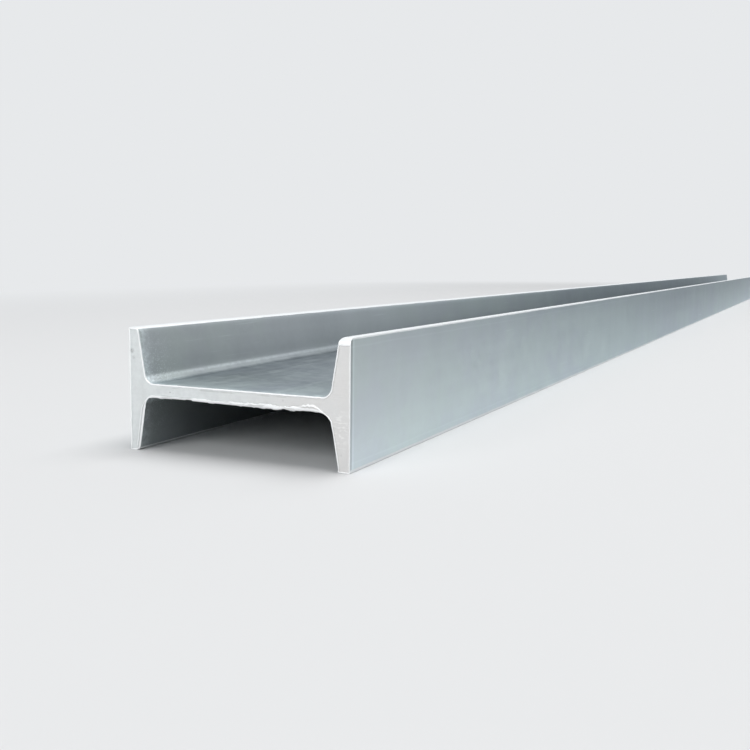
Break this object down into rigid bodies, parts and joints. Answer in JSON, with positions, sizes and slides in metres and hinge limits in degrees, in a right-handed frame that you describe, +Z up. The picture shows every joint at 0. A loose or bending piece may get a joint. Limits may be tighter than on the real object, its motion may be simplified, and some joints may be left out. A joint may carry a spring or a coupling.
{
  "type": "steel i-beam",
  "caption": "Galvanised hot rolled steel I-beam with tapered flanges, plain sawn ends, lying on its flange tips with its web level.",
  "frame": {"origin": "on the floor, under the middle of the beam: halfway along it and midway between its flanges", "axes": "+X along the beam's length, +Y across its section from flange to flange, +Z up, square to the web"},
  "size_m": [6, 0.24, 0.12],
  "materials": {
    "galvanised_steel": "hot dip galvanised, bluish grey semi-gloss rolled faces and paler matt sawn ends"
  },
  "bodies": {
    "root": {"i_beam": "galvanised_steel"}
  },
  "joints": []
}
